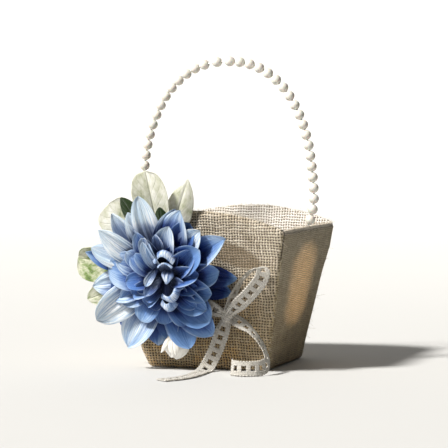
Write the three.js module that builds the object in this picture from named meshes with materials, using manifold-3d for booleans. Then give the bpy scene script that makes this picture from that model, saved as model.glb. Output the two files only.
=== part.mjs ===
// A flower girl basket: a tapered burlap box with an arched rim and a wire handle strung with pearls,
// trimmed with a large fabric flower, leaves and a lace bow. Millimetres, +Z up, -Y is the trimmed front
// face, and the origin is the middle of the underside.
import * as THREE from 'three';
import { mergeVertices } from 'three/addons/utils/BufferGeometryUtils.js';
import Module from 'manifold-3d';

const wasm = await Module();
wasm.setup();

// ---- driving dimensions ----
const GAP = 0.3; // clearance between pieces that lie on each other

// the box, over the outside of the cover
const BASE_HALF = 45.5;
const TOP_HALF = 65;
const CORNER_HEIGHT = 102;
const FRONT_RISE = 13; // how far the front and back rims arch above the corners
const SIDE_RISE = 0.4;
const CORNER_RADIUS = 4;
const LEAST_RADIUS = 1.2; // of an inner corner
const TALL = 125; // above every rim
const MARGIN = 10; // how far a cutting shape runs past what it cuts

// what the walls and the floor are made of
const COVER = 1;
const STIFFENER = 1.8;
const LINING = 1;
const BOARD = 2;
const RIM_FOLD = 1;

// the handle
const WIRE_RADIUS = 0.6;
const HANDLE_TOP = 223.4;
const PIVOT_HEIGHT = 96.5;
const EYE_RADIUS = 1.6;
const PIN_RADIUS = 0.6;
const PIN_LENGTH = 1.9;
const TILT_LIMIT = THREE.MathUtils.degToRad(20);
const SLOT_WIDTH = 2.2;
const WIRE_ROOM = 0.9; // free space on each side of the wire where it tilts

// the pearls
const PEARLS = 39;
const PEARL_RADIUS = 3.8;
const PEARL_BORE = 1;
const PEARL_PITCH = 7.85; // where they sit close together
const LOOSE_FROM = 17; // the string's slack shows as wider gaps near the crown, from this pearl on
const LOOSE_GAPS = 2;

// The flower, placed on the front face: across, up along the face, and out from it. A petal's reach is from
// the middle of its ring to its tip, its tilt is in degrees away from the face, and its start and height are
// its root's.
const FLOWER = new THREE.Vector3(-25, 73.5, 0);
const CALYX = { radius: 12, low: GAP, high: 3.7 };
const PETAL_THICKNESS = 1.2;
const OUTER_REACH = [57, 57, 60, 57, 53, 50, 49, 52, 60, 63, 67, 66, 58, 56, 50, 46];
const OUTER_HUB = { radius: 12, low: 4, high: 8 };
const FRONT_LAYER = { width: 21, tilt: 13, start: 6, height: 5.6 };
const BACK_LAYER = { width: 22, tilt: 5, start: 6, height: 4.6 };
const MIDDLE_HUB = { radius: 10, low: 8.3, high: 13 };
const MIDDLE_PETALS = { count: 9, reach: 42, width: 20, tilt: 27, start: 5, height: 9.3 };
const INNER_HUB = { radius: 6.5, low: 13.3, high: 18 };
const INNER_PETALS = { count: 8, reach: 24, width: 13, tilt: 50, start: 3.25, height: 14.3 };
const BUD_PROFILE = [[0, 18.4], [2.4, 18.4], [5.5, 24], [7, 32], [4.5, 39], [0, 42]]; // radius and height
// the head nods to the right, so each ring sits a little further over than the one under it
const MIDDLE_NOD = 2.5;
const INNER_NOD = 5;
const BUD_NOD = 6.5;

// the leaves, which lie close to the face: the way each one points, its tip's distance from the calyx's
// middle, its width, and its height off the face
const LEAF_THICKNESS = 1;
const LEAF_START = CALYX.radius + 3;
const LEAVES = [
  { name: 'top_leaf', degrees: 93, reach: 73.5, width: 29, height: 1 },
  { name: 'right_leaf', degrees: 71, reach: 69, width: 19, height: 2.3 },
  { name: 'upper_left_leaf', degrees: 131, reach: 65, width: 31, height: 2.3 },
  { name: 'left_leaf', degrees: 172, reach: 69, width: 29, height: 1 },
];

// the padded cream petal under the flower, and the knot of the bow, both on the front face
const CREAM_PETAL = { half: [9, 11, 3], place: [-21, 22, 4.3] };
const KNOT = { half: [5, 5, 4.5], place: [20.5, 42, 5.3] };

// the lace, flat
const LACE_WIDTH = 10.5;
const LACE_THICKNESS = 1;

// The loop of lace, on the front face: it leaves the knot, runs up and to the right as the strand nearest
// the face, turns over at the tip and comes back as the front strand. Along is the way it points, out is the
// way from the back strand to the front one, and the route is in those two directions.
const LOOP_ROOT = new THREE.Vector3(24, 47.5, 11);
const LOOP_ALONG = new THREE.Vector3(0.65, 0.76, 0).normalize();
const LOOP_OUT = new THREE.Vector3(0.2, -0.17, 0.965).normalize();
const LOOP_ROUTE = [[4, -2.6], [14, -4.8], [26, -5.6], [37, -4.6], [41.5, 0], [37, 4.6], [26, 5.6], [14, 4.8],
  [4, 2.6]];
const LOOP_MIDDLE = 22;

// The tails of lace, in the part's own frame: down from the knot, clear of the cover, and out along the
// ground. Each row is a point of the route, and the way the lace's face looks there.
const LEFT_TAIL = [
  [[18.2, -59.0, 34.2], [0.1, -1, 0]],
  [[15.6, -59.2, 27.0], [0.2, -1, 0]],
  [[11.8, -58.6, 17.0], [0.3, -1, 0.1]],
  [[7.6, -58.8, 8.0], [0.3, -0.8, 0.4]],
  [[5.2, -62.0, 2.6], [0.1, -0.4, 0.9]],
  [[4.4, -70.0, 0.95], [0, 0, 1]],
  [[4.8, -85.0, 0.95], [0, 0, 1]],
  [[3.6, -100.0, 0.95], [0, 0, 1]],
  [[-0.4, -112.0, 0.95], [0, 0, 1]],
  [[-7.0, -122.0, 0.95], [0, 0, 1]],
];
const RIGHT_TAIL = [
  [[25.6, -60.0, 38.6], [0.1, -0.9, 0.4]],
  [[32.0, -61.5, 35.2], [0.3, -0.5, 0.8]],
  [[40.0, -62.0, 29.5], [0.55, -0.2, 0.8]],
  [[46.5, -61.5, 21.5], [0.85, -0.1, 0.5]],
  [[50.5, -62.5, 13.5], [0.97, 0, 0.2]],
  [[52.0, -66.0, 8.0], [1, -0.1, 0.1]],
  [[50.0, -72.5, 6.0], [0.9, -0.5, 0.1]],
  [[44.0, -78.5, 5.8], [0.5, -0.9, 0.1]],
  [[36.0, -80.0, 5.8], [-0.2, -1, 0.1]],
  [[29.5, -76.0, 5.8], [-0.8, -0.6, 0.1]],
  [[27.0, -69.5, 5.8], [-1, 0, 0.1]],
];

const SLOPE = (TOP_HALF - BASE_HALF) / CORNER_HEIGHT;
const LEAN = Math.atan(SLOPE);
const WALL = COVER + STIFFENER + LINING + 2 * GAP;
const SIDE_RIM = CORNER_HEIGHT + SIDE_RISE;

const wallAt = (z) => BASE_HALF + SLOPE * z; // half the outer width at a height
const midWallAt = (z) => wallAt(z) - WALL / 2 / Math.cos(LEAN);

// ---- solids ----
function solid(geometry) {
  const plain = geometry.index ? geometry.toNonIndexed() : geometry;
  plain.deleteAttribute('normal');
  plain.deleteAttribute('uv');
  const merged = mergeVertices(plain, 1e-4);
  const vertProperties = new Float32Array(merged.attributes.position.array);
  const triVerts = new Uint32Array(merged.index.array);
  return new wasm.Manifold(new wasm.Mesh({ numProp: 3, vertProperties, triVerts }));
}

function geometryOf(manifold) {
  const mesh = manifold.getMesh();
  const geometry = new THREE.BufferGeometry();
  geometry.setAttribute('position', new THREE.BufferAttribute(mesh.vertProperties, 3));
  geometry.setIndex(new THREE.BufferAttribute(mesh.triVerts, 1));
  geometry.computeVertexNormals();
  return geometry;
}

const union = (solids) => solids.reduce((whole, next) => whole.add(next));

// ---- materials ----
function paint(color, roughness, metalness = 0) {
  return new THREE.MeshStandardMaterial({ color, roughness, metalness });
}

const burlap = paint(0xb59f7c, 0.95);
const board = paint(0xb9a88c, 0.9);
const steel = paint(0xb8b8b4, 0.35, 0.9);
const pearl = paint(0xefe9da, 0.25);
const bluePetal = paint(0x8ba6d3, 0.5);
const darkPetal = paint(0x2c3d6e, 0.6);
const sage = paint(0xc3ccab, 0.6);
const felt = paint(0x5f7350, 0.9);
const cream = paint(0xefe6d2, 0.4);
const lace = paint(0xe6dccb, 0.85);

function piece(name, shape, material) {
  const geometry = shape.isBufferGeometry ? shape : geometryOf(shape);
  const mesh = new THREE.Mesh(geometry, material);
  mesh.name = name;
  return mesh;
}

// ---- the box ----
function roundedSquare(half, radius) {
  const side = half - radius;
  const shape = new THREE.Shape();
  [[1, 1], [-1, 1], [-1, -1], [1, -1]].forEach(([x, y], quarter) => {
    const start = (quarter * Math.PI) / 2;
    shape.absarc(x * side, y * side, radius, start, start + Math.PI / 2, false);
  });
  shape.closePath();
  return shape;
}

// A block with the taper of the box, inset from the cover's outer face and running between two heights.
function taperedBlock(inset, low, high) {
  const across = inset / Math.cos(LEAN);
  const half = wallAt(low) - across;
  const radius = Math.max(CORNER_RADIUS - inset, LEAST_RADIUS);
  const options = { depth: high - low, bevelEnabled: false, curveSegments: 2 };
  const geometry = new THREE.ExtrudeGeometry(roundedSquare(half, radius), options);
  geometry.translate(0, 0, low);
  const position = geometry.attributes.position;
  for (let i = 0; i < position.count; i += 1) {
    const grow = (wallAt(position.getZ(i)) - across) / half;
    position.setXY(i, position.getX(i) * grow, position.getY(i) * grow);
  }
  return solid(geometry);
}

// Everything below an arch that rises over the middle of the front and back walls.
function archMask(rise, drop) {
  const reach = TOP_HALF + MARGIN;
  const corner = CORNER_HEIGHT - drop;
  const shape = new THREE.Shape();
  shape.moveTo(-reach, -MARGIN);
  shape.lineTo(reach, -MARGIN);
  shape.lineTo(reach, corner);
  shape.lineTo(TOP_HALF, corner);
  shape.quadraticCurveTo(0, corner + 2 * rise, -TOP_HALF, corner);
  shape.lineTo(-reach, corner);
  shape.closePath();
  const options = { depth: 2 * reach, bevelEnabled: false, curveSegments: 10 };
  const geometry = new THREE.ExtrudeGeometry(shape, options);
  geometry.rotateX(Math.PI / 2);
  geometry.translate(0, reach, 0);
  return geometry;
}

// Everything below the rim, lowered by drop.
function rimMask(drop) {
  const sides = archMask(SIDE_RISE, drop).rotateZ(Math.PI / 2);
  return solid(archMask(FRONT_RISE, drop)).add(solid(sides));
}

function handleSlot(side) {
  const rise = SIDE_RIM - PIVOT_HEIGHT;
  const length = 2 * (rise * Math.tan(TILT_LIMIT) + WIRE_RADIUS + WIRE_ROOM);
  const slot = new THREE.BoxGeometry(SLOT_WIDTH, length, 4 * RIM_FOLD);
  return solid(slot.translate(side * midWallAt(SIDE_RIM), 0, SIDE_RIM));
}

function coverSolid() {
  const outer = taperedBlock(0, 0, TALL);
  const skin = outer.subtract(taperedBlock(COVER, COVER, TALL + 1)).intersect(rimMask(0));
  const band = outer.subtract(taperedBlock(WALL, COVER, TALL + 1));
  const fold = band.intersect(rimMask(0)).subtract(rimMask(RIM_FOLD));
  return skin.add(fold).subtract(handleSlot(1)).subtract(handleSlot(-1));
}

// The room that an end of the handle sweeps inside a side wall, as a wedge that widens upwards.
function handlePocket(side) {
  const foot = EYE_RADIUS + WIRE_RADIUS + WIRE_ROOM;
  const top = SIDE_RIM + RIM_FOLD - PIVOT_HEIGHT;
  const spread = foot + top * Math.tan(TILT_LIMIT);
  const shape = new THREE.Shape();
  shape.moveTo(-foot, -foot);
  shape.lineTo(foot, -foot);
  shape.lineTo(spread, top);
  shape.lineTo(-spread, top);
  shape.closePath();
  const depth = 4 * WALL;
  const geometry = new THREE.ExtrudeGeometry(shape, { depth, bevelEnabled: false });
  geometry.translate(0, 0, -depth / 2);
  geometry.rotateX(Math.PI / 2);
  geometry.rotateZ(Math.PI / 2);
  return solid(geometry.translate(side * midWallAt(PIVOT_HEIGHT), 0, PIVOT_HEIGHT));
}

function stiffenerSolid() {
  const low = COVER + GAP;
  const sheet = taperedBlock(COVER + GAP, low, TALL)
    .subtract(taperedBlock(COVER + GAP + STIFFENER, low - 1, TALL + 1));
  const cut = sheet.intersect(rimMask(RIM_FOLD + GAP));
  return cut.subtract(handlePocket(1)).subtract(handlePocket(-1));
}

function liningSolid() {
  const low = COVER + BOARD + 2 * GAP;
  const tub = taperedBlock(WALL - LINING, low, TALL).subtract(taperedBlock(WALL, low + LINING, TALL + 1));
  return tub.intersect(rimMask(RIM_FOLD + GAP));
}

function boardSolid() {
  const low = COVER + GAP;
  return taperedBlock(WALL - LINING, low, low + BOARD);
}

// ---- the handle ----
// The right half of the arch from the crown down, where it stands clear of the wall: across and height.
const ARCH = [[0, HANDLE_TOP], [24, 218.8], [43, 204.5], [55.5, 184.5], [62.6, 162.8], [66, 139], [67, 122],
  [65.7, 113]];

function handlePath() {
  const foot = [[midWallAt(SIDE_RIM), SIDE_RIM], [midWallAt(PIVOT_HEIGHT), PIVOT_HEIGHT + EYE_RADIUS]];
  const half = [...ARCH, ...foot];
  const right = half.map(([x, z]) => new THREE.Vector3(x, 0, z));
  const left = half.slice(1).reverse().map(([x, z]) => new THREE.Vector3(-x, 0, z));
  const path = new THREE.CatmullRomCurve3([...left, ...right], false, 'centripetal');
  path.arcLengthDivisions = 800;
  return path;
}

function disc(radius) {
  const shape = new THREE.Shape();
  shape.absarc(0, 0, radius, 0, 2 * Math.PI, false);
  return shape;
}

function wireSolid(path) {
  const options = { steps: 76, bevelEnabled: false, curveSegments: 3, extrudePath: path };
  const arch = solid(new THREE.ExtrudeGeometry(disc(WIRE_RADIUS), options));
  const eyes = [-1, 1].map((side) => {
    const eye = new THREE.TorusGeometry(EYE_RADIUS, WIRE_RADIUS, 6, 12).rotateY(Math.PI / 2);
    return solid(eye.translate(side * midWallAt(PIVOT_HEIGHT), 0, PIVOT_HEIGHT));
  });
  return union([arch, ...eyes]);
}

// A pearl is a ball on the local Y axis with a hole along it.
function pearlGeometry() {
  const start = Math.asin(PEARL_BORE / PEARL_RADIUS);
  const steps = 5;
  const profile = [];
  for (let i = 0; i <= steps; i += 1) {
    const angle = start + ((Math.PI - 2 * start) * i) / steps;
    profile.push(new THREE.Vector2(PEARL_RADIUS * Math.sin(angle), -PEARL_RADIUS * Math.cos(angle)));
  }
  profile.push(profile[0].clone());
  return new THREE.LatheGeometry(profile, 8);
}

// Where along the path each pearl sits, from 0 to 1: close together up both legs, looser near the crown.
function pearlPlaces(path) {
  const whole = path.getLength();
  // the lowest pearls clear the rim when the handle is tilted
  const arm = (SIDE_RIM - PIVOT_HEIGHT + PEARL_RADIUS + GAP) / Math.cos(TILT_LIMIT);
  const lowest = PIVOT_HEIGHT + arm;
  let foot = 0;
  while (path.getPointAt(foot / whole).z < lowest) foot += 0.1;
  const slack = whole - 2 * foot - (PEARLS - 1) * PEARL_PITCH;
  return Array.from({ length: PEARLS }, (_, i) => {
    const loose = THREE.MathUtils.clamp(i - LOOSE_FROM, 0, LOOSE_GAPS);
    return (foot + i * PEARL_PITCH + (slack * loose) / LOOSE_GAPS) / whole;
  });
}

function pearlName(i) {
  return `pearl_${String(i + 1).padStart(2, '0')}`;
}

function handleGroup() {
  const group = new THREE.Group();
  const path = handlePath();
  group.add(piece('handle_wire', wireSolid(path), steel));
  const geometry = pearlGeometry();
  pearlPlaces(path).forEach((place, i) => {
    const ball = piece(pearlName(i), geometry, pearl);
    ball.position.copy(path.getPointAt(place));
    ball.quaternion.setFromUnitVectors(new THREE.Vector3(0, 1, 0), path.getTangentAt(place));
    group.add(ball);
  });
  return group;
}

function pin(name, side) {
  const geometry = new THREE.CylinderGeometry(PIN_RADIUS, PIN_RADIUS, PIN_LENGTH, 8);
  geometry.rotateZ(Math.PI / 2);
  const mesh = piece(name, geometry, steel);
  mesh.position.set(side * midWallAt(PIVOT_HEIGHT), 0, PIVOT_HEIGHT);
  return mesh;
}

// ---- the flower and the leaves, in the frame of the front face ----
// A pointed blade of stamped cloth that grows along +Y from its root. It is widest above the middle of its
// length.
function blade(length, width, thickness) {
  const root = width * 0.22;
  const bulge = width * 0.61;
  const low = length * 0.35;
  const high = length * 0.78;
  const shape = new THREE.Shape();
  shape.moveTo(-root, 0);
  shape.lineTo(root, 0);
  shape.bezierCurveTo(bulge, low, bulge, high, 0, length);
  shape.bezierCurveTo(-bulge, high, -bulge, low, -root, 0);
  return new THREE.ExtrudeGeometry(shape, { depth: thickness, bevelEnabled: false, curveSegments: 4 });
}

function hub({ radius, low, high }) {
  const geometry = new THREE.CylinderGeometry(radius, radius, high - low, 16);
  geometry.rotateX(Math.PI / 2);
  return solid(geometry.translate(0, 0, (low + high) / 2));
}

// One petal of a ring: it starts inside the hub and lifts away from the face by its tilt.
function petal({ reach, width, tilt, start, height }, angle) {
  const lift = THREE.MathUtils.degToRad(tilt);
  const geometry = blade((reach - start) / Math.cos(lift), width, PETAL_THICKNESS);
  geometry.rotateX(lift);
  geometry.translate(0, start, height);
  return solid(geometry.rotateZ(angle - Math.PI / 2));
}

// The long petals stand in two layers, every other one in front.
function outerPetals() {
  const petals = OUTER_REACH.map((reach, i) => {
    const layer = i % 2 ? BACK_LAYER : FRONT_LAYER;
    return petal({ ...layer, reach }, (i * 2 * Math.PI) / OUTER_REACH.length);
  });
  return union([hub(OUTER_HUB), ...petals]);
}

function petalRing(ringHub, form) {
  const step = (2 * Math.PI) / form.count;
  const petals = Array.from({ length: form.count }, (_, i) => petal(form, (i + 0.5) * step));
  return union([hub(ringHub), ...petals]);
}

function flowerCentre() {
  const geometry = new THREE.LatheGeometry(BUD_PROFILE.map(([r, w]) => new THREE.Vector2(r, w)), 12);
  return solid(geometry.rotateX(Math.PI / 2));
}

// A leaf points away from the calyx, which it starts just clear of.
function leaf({ name, degrees, reach, width, height }) {
  const geometry = blade(reach - LEAF_START, width, LEAF_THICKNESS);
  geometry.translate(0, LEAF_START, height);
  const mesh = piece(name, geometry, sage);
  mesh.rotation.z = THREE.MathUtils.degToRad(degrees) - Math.PI / 2;
  return mesh;
}

function flowerGroup() {
  const group = new THREE.Group();
  group.position.copy(FLOWER);
  const calyx = piece('flower_calyx', hub(CALYX), felt);
  const outer = piece('outer_petals', outerPetals(), bluePetal);
  const middle = piece('middle_petals', petalRing(MIDDLE_HUB, MIDDLE_PETALS), bluePetal);
  const inner = piece('inner_petals', petalRing(INNER_HUB, INNER_PETALS), bluePetal);
  const centre = piece('flower_centre', flowerCentre(), darkPetal);
  middle.position.x = MIDDLE_NOD;
  inner.position.x = INNER_NOD;
  centre.position.x = BUD_NOD;
  group.add(calyx, outer, middle, inner, centre, ...LEAVES.map(leaf));
  return group;
}

// A smooth rounded lump of cloth.
function pad(name, { half, place }, material) {
  const mesh = piece(name, new THREE.SphereGeometry(1, 12, 8).scale(...half), material);
  mesh.position.set(...place);
  return mesh;
}

// ---- the lace bow ----
// A flat ribbon's route. Each point has a facing: the way that the ribbon's face looks there.
class RibbonPath extends THREE.CatmullRomCurve3 {
  constructor(route) {
    super(route.map(([point]) => new THREE.Vector3(...point)), false, 'centripetal');
    this.facings = route.map(([, facing]) => new THREE.Vector3(...facing).normalize());
  }

  facingAt(u) {
    const place = this.getUtoTmapping(u) * (this.facings.length - 1);
    const i = Math.min(Math.floor(place), this.facings.length - 2);
    return this.facings[i].clone().lerp(this.facings[i + 1], place - i);
  }

  computeFrenetFrames(steps) {
    const tangents = [];
    const normals = [];
    const binormals = [];
    for (let i = 0; i <= steps; i += 1) {
      const tangent = this.getTangentAt(i / steps);
      const facing = this.facingAt(i / steps);
      const normal = facing.addScaledVector(tangent, -facing.dot(tangent)).normalize();
      tangents.push(tangent);
      normals.push(normal);
      binormals.push(new THREE.Vector3().crossVectors(tangent, normal));
    }
    return { tangents, normals, binormals };
  }
}

function ribbon(route, steps) {
  const across = LACE_WIDTH / 2;
  const deep = LACE_THICKNESS / 2;
  const section = new THREE.Shape();
  section.moveTo(-deep, -across);
  section.lineTo(deep, -across);
  section.lineTo(deep, across);
  section.lineTo(-deep, across);
  section.closePath();
  const extrudePath = new RibbonPath(route);
  return new THREE.ExtrudeGeometry(section, { steps, bevelEnabled: false, extrudePath });
}

function loopRoute() {
  return LOOP_ROUTE.map(([along, out]) => {
    const point = LOOP_ROOT.clone().addScaledVector(LOOP_ALONG, along).addScaledVector(LOOP_OUT, out);
    const facing = LOOP_ALONG.clone().multiplyScalar(along - LOOP_MIDDLE).addScaledVector(LOOP_OUT, 2 * out);
    return [point.toArray(), facing.toArray()];
  });
}

// ---- assembly ----
const basket = new THREE.Group();
basket.add(piece('burlap_cover', coverSolid(), burlap));
basket.add(piece('wall_stiffener', stiffenerSolid(), board));
basket.add(piece('base_board', boardSolid(), board));
basket.add(piece('burlap_lining', liningSolid(), burlap));
basket.add(pin('left_handle_pin', -1), pin('right_handle_pin', 1));
basket.add(handleGroup());

const frontFace = new THREE.Group();
frontFace.position.set(0, -BASE_HALF, 0);
frontFace.rotation.x = Math.PI / 2 + LEAN;
frontFace.add(flowerGroup(), pad('cream_petal', CREAM_PETAL, cream), pad('bow_knot', KNOT, lace));
frontFace.add(piece('bow_loop', ribbon(loopRoute(), 22), lace));
basket.add(frontFace);

basket.add(piece('left_tail', ribbon(LEFT_TAIL, 24), lace));
basket.add(piece('right_tail', ribbon(RIGHT_TAIL, 30), lace));

export default basket;
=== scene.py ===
from math import asin, atan, cos, degrees, pi, radians, sin

import bmesh
import bpy
import numpy as np
from mathutils import Matrix, Vector


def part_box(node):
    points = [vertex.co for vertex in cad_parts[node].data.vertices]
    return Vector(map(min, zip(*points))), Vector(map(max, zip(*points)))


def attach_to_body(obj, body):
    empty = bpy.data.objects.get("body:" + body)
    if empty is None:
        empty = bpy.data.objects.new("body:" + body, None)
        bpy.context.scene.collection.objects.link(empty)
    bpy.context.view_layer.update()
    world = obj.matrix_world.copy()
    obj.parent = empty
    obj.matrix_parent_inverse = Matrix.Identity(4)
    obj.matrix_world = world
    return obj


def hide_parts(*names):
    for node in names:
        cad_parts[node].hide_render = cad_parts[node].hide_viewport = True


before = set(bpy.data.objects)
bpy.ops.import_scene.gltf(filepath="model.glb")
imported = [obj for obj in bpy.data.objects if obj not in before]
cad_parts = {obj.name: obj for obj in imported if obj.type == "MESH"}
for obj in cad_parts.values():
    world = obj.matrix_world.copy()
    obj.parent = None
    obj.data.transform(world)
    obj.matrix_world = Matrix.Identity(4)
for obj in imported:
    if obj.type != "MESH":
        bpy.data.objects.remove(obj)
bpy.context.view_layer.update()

MM = 0.001

# The box in millimetres, as the CAD part has it.
BASE_HALF = 45.5
TOP_HALF = 65
CORNER_HEIGHT = 102
FRONT_RISE = 13
SIDE_RISE = 0.4
SLOPE = (TOP_HALF - BASE_HALF) / CORNER_HEIGHT
LEAN = atan(SLOPE)
FLOWER = (-25, 73.5)
KNOT = (20.5, 42, 5.3)


def rng(seed):
    return np.random.default_rng(seed)


def wall_at(z):
    return BASE_HALF + SLOPE * z


def on_face(u, v, w):
    """The front face's own frame (across, up along the face, out from it) to the object's, in millimetres."""
    u, v, w = np.broadcast_arrays(np.asarray(u, float), np.asarray(v, float), np.asarray(w, float))
    y = -BASE_HALF - v * sin(LEAN) - w * cos(LEAN)
    z = v * cos(LEAN) - w * sin(LEAN)
    return np.stack([u, y, z], -1)


# ---- camera


def aim(name, data, way, place=(0, 0, 0)):
    """Puts a camera or a lamp at place, looking that way."""
    made = bpy.data.objects.new(name, data)
    bpy.context.scene.collection.objects.link(made)
    made.location = place
    made.rotation_mode = "QUATERNION"
    made.rotation_quaternion = way.to_track_quat("-Z", "Y")
    return made


def make_camera():
    data = bpy.data.cameras.new("camera")
    data.sensor_width = 36
    data.lens = 165.6
    data.clip_start = 0.1
    data.clip_end = 50
    place = Vector((0.4896, -1.4468, 0.1793))
    target = Vector((-0.00215, -0.00073, 0.10298))
    bpy.context.scene.camera = aim("camera", data, target - place, place)


make_camera()


# ---- node trees


class Wire:
    """A number in a node tree. Arithmetic on it adds Math nodes."""

    def __init__(self, shader, socket):
        self.shader = shader
        self.socket = socket


def add_arithmetic(symbol, operation):
    setattr(Wire, f"__{symbol}__", lambda self, other: self.shader.math(operation, self, other))
    setattr(Wire, f"__r{symbol}__", lambda self, other: self.shader.math(operation, other, self))


for symbol, operation in (("add", "ADD"), ("sub", "SUBTRACT"), ("mul", "MULTIPLY"), ("truediv", "DIVIDE")):
    add_arithmetic(symbol, operation)


class Shader:
    """A material with one Principled BSDF, and short ways to add nodes to it."""

    def __init__(self, name, **values):
        self.material = bpy.data.materials.new(name)
        self.material.use_nodes = True
        self.tree = self.material.node_tree
        self.surface = self.tree.nodes["Principled BSDF"]
        self.set(**values)

    def put(self, socket, value):
        value = value.socket if isinstance(value, Wire) else value
        if isinstance(value, bpy.types.NodeSocket):
            self.tree.links.new(value, socket)
        else:
            socket.default_value = (*value, 1) if socket.type == "RGBA" else value

    def set(self, **values):
        for key, value in values.items():
            self.put(self.surface.inputs[key.replace("_", " ")], value)

    def node(self, kind, inputs=None, **settings):
        made = self.tree.nodes.new("ShaderNode" + kind)
        for key, value in settings.items():
            setattr(made, key, value)
        for key, value in (inputs or {}).items():
            self.put(made.inputs[key], value)
        return made

    def math(self, operation, *values, clamp=False):
        made = self.node("Math", dict(enumerate(values)), operation=operation, use_clamp=clamp)
        return Wire(self, made.outputs[0])

    def size(self, value):
        return self.math("ABSOLUTE", value)

    def ramp(self, value, stops):
        made = self.node("ValToRGB", {"Fac": value})
        elements = made.color_ramp.elements
        while len(elements) < len(stops):
            elements.new(0.5)
        for element, (place, colour) in zip(elements, stops):
            element.position = place
            element.color = (*colour, 1)
        return made.outputs["Color"]

    def step(self, value, low, high):
        """From 0 at low to 1 at high, smoothly."""
        inputs = {"Value": value, "From Min": low, "From Max": high}
        return Wire(self, self.node("MapRange", inputs, interpolation_type="SMOOTHSTEP").outputs["Result"])

    def mix(self, factor, a, b, blend="MIX"):
        return self.node("Mix", {0: factor, 6: a, 7: b}, data_type="RGBA", blend_type=blend).outputs[2]

    def noise(self, vector, scale=1, detail=2, roughness=0.5):
        inputs = {"Vector": vector, "Scale": scale, "Detail": detail, "Roughness": roughness}
        return Wire(self, self.node("TexNoise", inputs).outputs["Fac"])

    def field(self, x, y, z=0, **settings):
        """Noise over any three numbers."""
        return self.noise(self.node("CombineXYZ", {"X": x, "Y": y, "Z": z}).outputs[0], **settings)

    def uv(self, name):
        made = self.node("SeparateXYZ", {0: self.node("UVMap", uv_map=name).outputs[0]})
        return Wire(self, made.outputs[0]), Wire(self, made.outputs[1])

    def attribute(self, name):
        made = self.node("SeparateColor", {0: self.node("Attribute", attribute_name=name).outputs["Color"]})
        return [Wire(self, made.outputs[i]) for i in range(3)]

    def place(self):
        return self.node("TexCoord").outputs["Object"]

    def bump(self, height, distance, strength):
        made = self.node("Bump", {"Height": height, "Distance": distance, "Strength": strength})
        self.set(Normal=made.outputs[0])


# ---- mesh helpers


def smooth_faces(data):
    data.polygons.foreach_set("use_smooth", [True] * len(data.polygons))


def make_object(name, points, faces, material):
    """A mesh from points in millimetres."""
    data = bpy.data.meshes.new(name)
    data.from_pydata((np.asarray(points) * MM).tolist(), [], np.asarray(faces).tolist())
    smooth_faces(data)
    data.materials.append(material)
    made = bpy.data.objects.new(name, data)
    bpy.context.scene.collection.objects.link(made)
    return made


def attach(obj, slot, node=None, body="basket"):
    """Puts a piece on its body, with the CAD node that it stands for. slot is not used."""
    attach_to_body(obj, body)
    if node:
        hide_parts(node)


def grid_faces(rows, columns, offset=0, closed=False):
    """Quads of a grid of points that was flattened row by row."""
    i, j = np.meshgrid(np.arange(rows - 1), np.arange(columns if closed else columns - 1), indexing="ij")
    nxt = (j + 1) % columns
    quads = [i * columns + j, i * columns + nxt, (i + 1) * columns + nxt, (i + 1) * columns + j]
    return np.stack(quads, -1).reshape(-1, 4) + offset


def set_uv(obj, name, corner_uv):
    layer = obj.data.uv_layers.new(name=name)
    layer.data.foreach_set("uv", np.asarray(corner_uv, np.float32).ravel())


def set_colour(obj, name, colours):
    layer = obj.data.color_attributes.new(name, "FLOAT_COLOR", "POINT")
    rgba = np.concatenate([np.asarray(colours, np.float32), np.ones((len(colours), 1), np.float32)], 1)
    layer.data.foreach_set("color", rgba.ravel())


def thicken(obj, thickness, levels=0):
    solid = obj.modifiers.new("thickness", "SOLIDIFY")
    solid.thickness = thickness * MM
    solid.offset = 0
    if levels:
        soft = obj.modifiers.new("smooth", "SUBSURF")
        soft.levels = levels
        soft.render_levels = levels


def smooth_rows(rows, count):
    """A smooth curve through rows of numbers, at that many even steps from the first to the last."""
    rows = np.asarray(rows, float)
    padded = np.vstack([2 * rows[0] - rows[1], rows, 2 * rows[-1] - rows[-2]])
    t = np.linspace(0, len(rows) - 1, count)
    k = np.minimum(t.astype(int), len(rows) - 2)
    t = (t - k)[:, None]
    p0, p1, p2, p3 = (padded[k + i] for i in range(4))
    square, cube = 2 * p0 - 5 * p1 + 4 * p2 - p3, 3 * p1 - p0 - 3 * p2 + p3
    return 0.5 * (2 * p1 + (p2 - p0) * t + square * t**2 + cube * t**3)


def resample(points, facings, step):
    """A smooth line through points, with steps of about that length, and the facings along it."""
    fine = 24 * (len(points) - 1) + 1
    line = smooth_rows(points, fine)
    face = smooth_rows(facings, fine)
    along = np.concatenate([[0], np.cumsum(np.linalg.norm(np.diff(line, axis=0), axis=1))])
    count = max(2, int(round(along[-1] / step)) + 1)
    places = np.linspace(0, along[-1], count)
    line = np.stack([np.interp(places, along, line[:, i]) for i in range(3)], 1)
    face = np.stack([np.interp(places, along, face[:, i]) for i in range(3)], 1)
    return line, face, places


def unit(v):
    return v / np.linalg.norm(v, axis=-1, keepdims=True)


# ---- lace
LACE_WIDTH = 10.5
LACE_STEPS = 16  # rows in one repeat of the ladder
LACE_REPEAT = 6.6
LACE_HALF = [0.55, 1.1, 1.65, 2.2, 2.7, 3.2, 3.7, 4.2, 4.75, 5.25]
LACE_T = np.array([-t for t in reversed(LACE_HALF)] + [0] + LACE_HALF)  # columns across the strip
LACE_THICK = 0.75


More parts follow.
